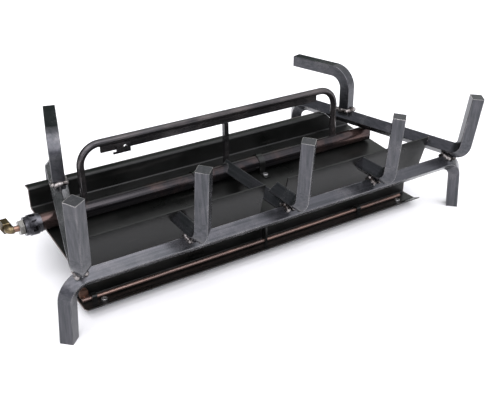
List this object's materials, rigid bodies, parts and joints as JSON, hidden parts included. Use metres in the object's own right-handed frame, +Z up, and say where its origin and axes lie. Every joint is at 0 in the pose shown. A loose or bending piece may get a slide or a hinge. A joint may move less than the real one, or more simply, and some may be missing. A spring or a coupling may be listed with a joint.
{
  "type": "gas log grate burner assembly",
  "caption": "Welded square-bar fireplace grate carrying a sheet burner pan, a ported gas burner tube with mixer and inlet elbow, a log rest and an ember trough.",
  "frame": {"origin": "middle of the footprint, on the surface that the feet stand on", "axes": "+X to the right along the front rail, +Y to the rear, +Z up"},
  "size_m": [0.6062, 0.3234, 0.1829],
  "materials": {
    "bar_steel": "satin dark heat-resistant coating on hot-rolled square bar",
    "sheet_steel": "satin near-black coating on bent sheet",
    "tube_steel": "semi-gloss dark pipe",
    "rod_steel": "satin black rod and strip",
    "dark_iron": "dark oiled iron fitting",
    "plated_steel": "dull zinc-plated steel",
    "zinc_screw": "bright zinc-plated steel",
    "brass": "tarnished turned brass",
    "copper": "dull copper"
  },
  "bodies": {
    "root": {"front_rail": "bar_steel", "left_end_bar": "bar_steel", "right_end_bar": "bar_steel", "left_log_stop": "bar_steel", "middle_log_stop": "bar_steel", "right_log_stop": "bar_steel", "centre_arm": "bar_steel", "left_rear_hook": "bar_steel", "right_rear_hook": "bar_steel", "burner_pan": "sheet_steel", "burner_tube": "tube_steel", "tube_straps": "sheet_steel", "strap_screws": "zinc_screw", "tube_end_cap": "tube_steel", "tube_hanger": "sheet_steel", "hanger_screw": "zinc_screw", "mixer_body": "dark_iron", "lock_nut": "plated_steel", "gas_orifice": "brass", "inlet_nipple": "copper", "inlet_elbow": "brass", "log_rest_bar": "rod_steel", "log_rest_strip": "rod_steel", "log_rest_post": "rod_steel", "pilot_tab": "rod_steel", "ember_trough": "sheet_steel", "trough_feet": "sheet_steel", "ember_tube": "rod_steel", "ember_tube_fitting": "copper", "ember_tube_clips": "sheet_steel", "trough_screws": "zinc_screw"},
    "shutter": {"air_shutter": "dark_iron"},
    "swivel_nut": {"flare_nut": "brass"}
  },
  "joints": [
    {"name": "air_shutter_turn", "type": "hinge", "parent": "root", "child": "shutter", "pos_m": [-0.26667, 0.02989, 0.0706], "axis": [1, 0, 0], "range_deg": [0, 45]},
    {"name": "flare_nut_turn", "type": "hinge", "parent": "root", "child": "swivel_nut", "pos_m": [-0.29537, 0.04389, 0.0706], "axis": [0, 1, 0], "continuous": true}
  ]
}
